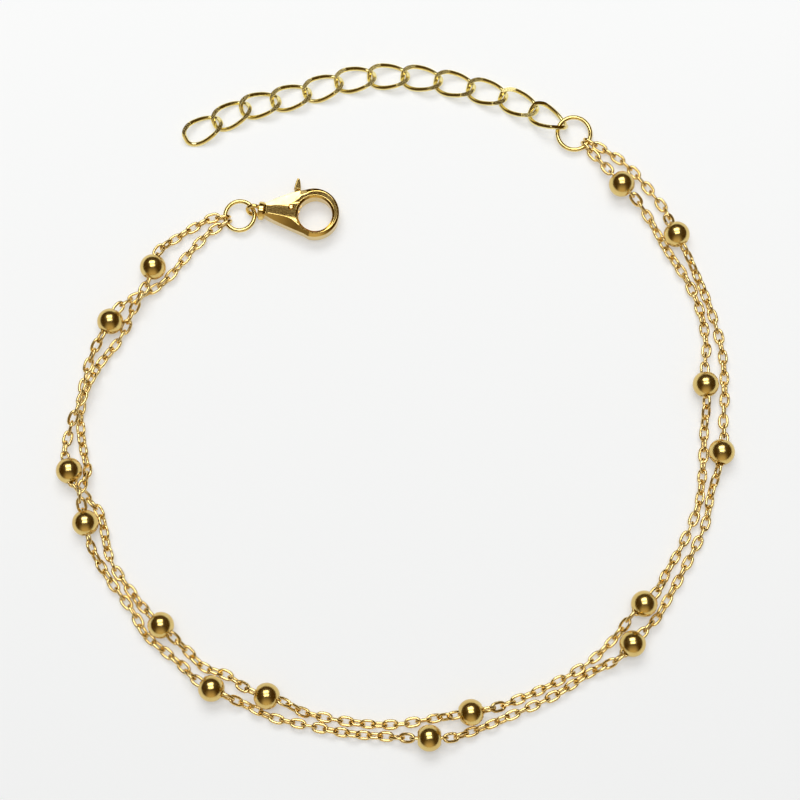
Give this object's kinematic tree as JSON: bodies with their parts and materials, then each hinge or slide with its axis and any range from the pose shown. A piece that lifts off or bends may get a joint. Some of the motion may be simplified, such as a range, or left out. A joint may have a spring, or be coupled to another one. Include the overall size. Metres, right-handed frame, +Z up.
{
  "type": "chain anklet",
  "caption": "Anklet of two fine chain strands with round beads, a lobster clasp on a jump ring at one end and an extender of curb links at the other, lying open.",
  "frame": {"origin": "on the surface the anklet lies on, under the middle of its outline", "axes": "+Z up from the surface, +Y towards the end with the clasp and the extender, +X from the clasp end towards the extender's jump ring"},
  "size_m": [0.0896, 0.093, 0.0035],
  "materials": {
    "bead_gold": "mirror-polished gold plate",
    "fine_chain_gold": "polished gold plate",
    "extender_gold": "polished gold plate with diamond-cut flats",
    "clasp_gold": "polished gold plate"
  },
  "bodies": {
    "anklet": {"clasp_body": "clasp_gold", "clasp_pin": "clasp_gold", "clasp_jump_ring": "extender_gold", "extender_jump_ring": "extender_gold", "extender_link_01": "extender_gold", "extender_link_02": "extender_gold", "extender_link_03": "extender_gold", "extender_link_04": "extender_gold", "extender_link_05": "extender_gold", "extender_link_06": "extender_gold", "extender_link_07": "extender_gold", "extender_link_08": "extender_gold", "extender_link_09": "extender_gold", "extender_link_10": "extender_gold", "extender_link_11": "extender_gold", "extender_link_12": "extender_gold", "bead_01": "bead_gold", "bead_02": "bead_gold", "bead_03": "bead_gold", "bead_04": "bead_gold", "bead_05": "bead_gold", "bead_06": "bead_gold", "bead_07": "bead_gold", "bead_08": "bead_gold", "bead_09": "bead_gold", "bead_10": "bead_gold", "bead_11": "bead_gold", "bead_12": "bead_gold", "bead_13": "bead_gold", "bead_14": "bead_gold", "bead_15": "bead_gold", "strand_a": "fine_chain_gold", "strand_b": "fine_chain_gold", "strand_a_extender_link": "fine_chain_gold", "strand_a_clasp_link": "fine_chain_gold", "strand_b_extender_link": "fine_chain_gold", "strand_b_clasp_link": "fine_chain_gold"},
    "lever": {"clasp_lever": "clasp_gold"}
  },
  "joints": [
    {"name": "clasp_lever_hinge", "type": "hinge", "parent": "anklet", "child": "lever", "pos_m": [-0.01403, 0.02582, 0.0014], "axis": [0, 0, -1], "range_deg": [0, 20], "stiffness_Nm_per_rad": 0.0045}
  ]
}
